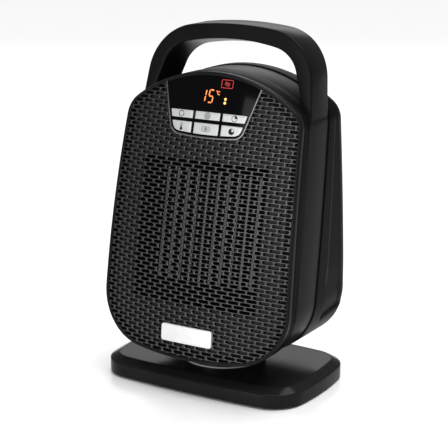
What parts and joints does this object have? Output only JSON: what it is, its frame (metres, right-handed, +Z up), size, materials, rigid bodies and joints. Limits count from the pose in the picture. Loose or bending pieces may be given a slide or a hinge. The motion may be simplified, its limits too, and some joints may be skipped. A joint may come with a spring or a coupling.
{
  "type": "ceramic space heater",
  "caption": "Upright ceramic space heater with a carrying handle, a convex slotted front, a tapered display panel with push buttons, and an oval base that it swings on.",
  "frame": {"origin": "on the table under the swing axis, centre of the object's footprint", "axes": "+Z up, front faces -Y, +X to the right seen from the front"},
  "size_m": [0.1938, 0.1288, 0.3045],
  "materials": {
    "casing": "satin, fine moulded texture",
    "bezel": "semi-gloss rounded rim",
    "grille": "satin",
    "dark_plastic": "satin",
    "panel_lens": "high gloss",
    "silver_trim": "satin chrome plating",
    "button_silver": "silver paint, satin",
    "badge_metal": "bright anodised",
    "rubber": "matt",
    "steel": "zinc plated",
    "lamination": "oiled sheet steel",
    "nylon": "natural nylon",
    "heat_frame": "heat-proof phenolic",
    "element_metal": "mill finish",
    "ceramic": "fired ceramic",
    "copper": "enamelled wire and plated blades",
    "board_green": "solder mask",
    "component_black": "moulded",
    "foam": "open-cell foam",
    "fan_plastic": "glass-filled plastic"
  },
  "bodies": {
    "base": {"base_shell": "casing", "base_plate": "dark_plastic", "rubber_feet": "rubber", "base_screws": "steel", "pivot_post": "steel", "post_screws": "steel", "post_clip": "steel", "slide_ring": "nylon", "drive_fork": "nylon", "cord_gland": "rubber"},
    "heater": {"front_housing": "casing", "handle_band": "casing", "rear_housing": "casing", "front_bezel": "bezel", "front_grille": "grille", "duct_frame": "dark_plastic", "panel_carrier": "dark_plastic", "fan_shroud": "dark_plastic", "swivel_collar": "dark_plastic", "intake_grille": "dark_plastic", "display_panel": "panel_lens", "panel_trim": "silver_trim", "badge_plate": "badge_metal", "housing_screws": "steel", "module_screws": "steel", "motor_brackets": "steel", "swing_bracket": "steel", "motor_stator": "lamination", "swing_motor": "nylon", "ptc_frame": "heat_frame", "ptc_tubes": "element_metal", "ptc_fins": "element_metal", "ptc_ceramics": "ceramic", "motor_coil": "copper", "ptc_terminals": "copper", "control_board": "board_green", "board_components": "component_black", "display_module": "component_black", "tact_switches": "component_black", "thermal_cutout": "component_black", "thermal_fuse": "component_black", "tip_switch": "component_black", "dust_filter": "foam"},
    "fan": {"fan_wheel": "fan_plastic", "rotor_shaft": "steel"},
    "crank": {"swing_crank": "nylon"},
    "button_mode_cap": {"button_mode": "button_silver"},
    "button_power_cap": {"button_power": "button_silver"},
    "button_timer_cap": {"button_timer": "button_silver"},
    "button_temp_cap": {"button_temp": "button_silver"},
    "button_swing_cap": {"button_swing": "button_silver"},
    "button_hold_cap": {"button_hold": "button_silver"}
  },
  "joints": [
    {"name": "swing", "type": "hinge", "parent": "base", "child": "heater", "pos_m": [0, 0, 0.03], "axis": [0, 0, 1], "range_deg": [-30, 30]},
    {"name": "crank_turn", "type": "hinge", "parent": "heater", "child": "crank", "pos_m": [0, 0.017, 0.03], "axis": [0, 0, 1], "range_deg": [-90, 90]},
    {"name": "fan_spin", "type": "hinge", "parent": "heater", "child": "fan", "pos_m": [0, -0.04942, 0.13728], "axis": [0, 0.9802, -0.1982], "continuous": true},
    {"name": "press_mode", "type": "slide", "parent": "heater", "child": "button_mode_cap", "axis": [0, 0.9802, -0.1982], "range_m": [0, 0.0006], "stiffness_N_per_m": 800},
    {"name": "press_power", "type": "slide", "parent": "heater", "child": "button_power_cap", "axis": [0, 0.9802, -0.1982], "range_m": [0, 0.0006], "stiffness_N_per_m": 800},
    {"name": "press_timer", "type": "slide", "parent": "heater", "child": "button_timer_cap", "axis": [0, 0.9802, -0.1982], "range_m": [0, 0.0006], "stiffness_N_per_m": 800},
    {"name": "press_temp", "type": "slide", "parent": "heater", "child": "button_temp_cap", "axis": [0, 0.9802, -0.1982], "range_m": [0, 0.0006], "stiffness_N_per_m": 800},
    {"name": "press_swing", "type": "slide", "parent": "heater", "child": "button_swing_cap", "axis": [0, 0.9802, -0.1982], "range_m": [0, 0.0006], "stiffness_N_per_m": 800},
    {"name": "press_hold", "type": "slide", "parent": "heater", "child": "button_hold_cap", "axis": [0, 0.9802, -0.1982], "range_m": [0, 0.0006], "stiffness_N_per_m": 800}
  ],
  "couplings": [
    {"joint": "crank_turn", "follows": "swing", "ratio": -3}
  ]
}
